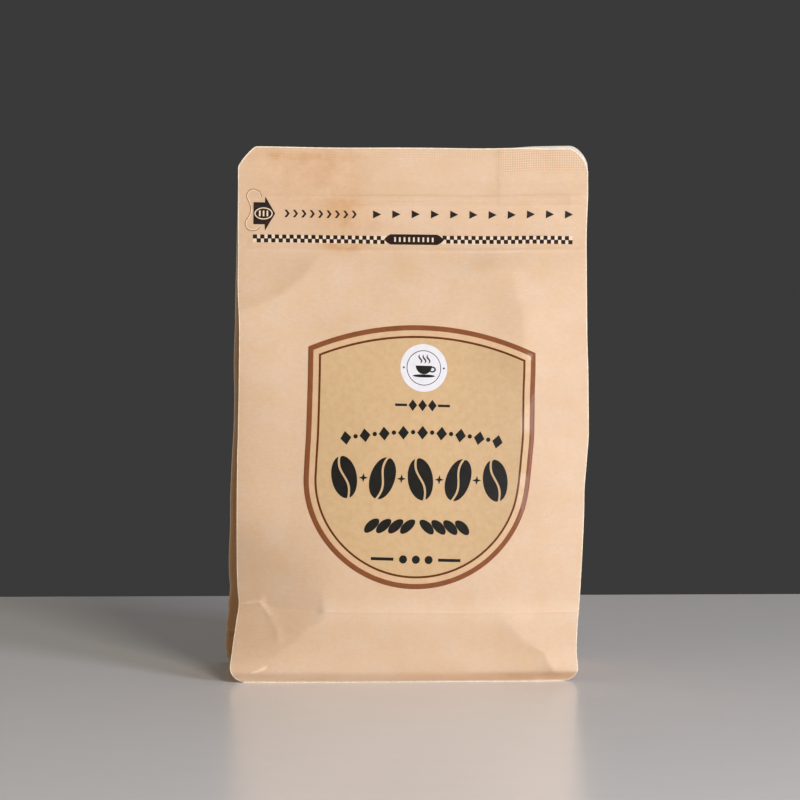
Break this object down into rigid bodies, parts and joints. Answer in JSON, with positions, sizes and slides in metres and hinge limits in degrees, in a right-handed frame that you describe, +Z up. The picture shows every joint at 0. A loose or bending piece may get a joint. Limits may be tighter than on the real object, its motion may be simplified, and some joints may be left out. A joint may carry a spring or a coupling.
{
  "type": "kraft coffee bag",
  "caption": "Flat-bottom kraft paper coffee bag, filled and sealed shut, with side fins, folded-in gussets, a flat top seal and a shield-shaped paper label on the front.",
  "frame": {"origin": "centre of the bounding box in plan, on the floor the bag stands on", "axes": "+Z up, front panel with the label facing -Y, +X to the right of someone facing the label"},
  "size_m": [0.1338, 0.0711, 0.196],
  "materials": {
    "kraft_paper": "matt natural kraft paper over a foil lining",
    "label_paper": "smooth printed sticker paper with a light gloss"
  },
  "bodies": {
    "root": {"bag_body": "kraft_paper", "front_label": "label_paper"}
  },
  "joints": []
}
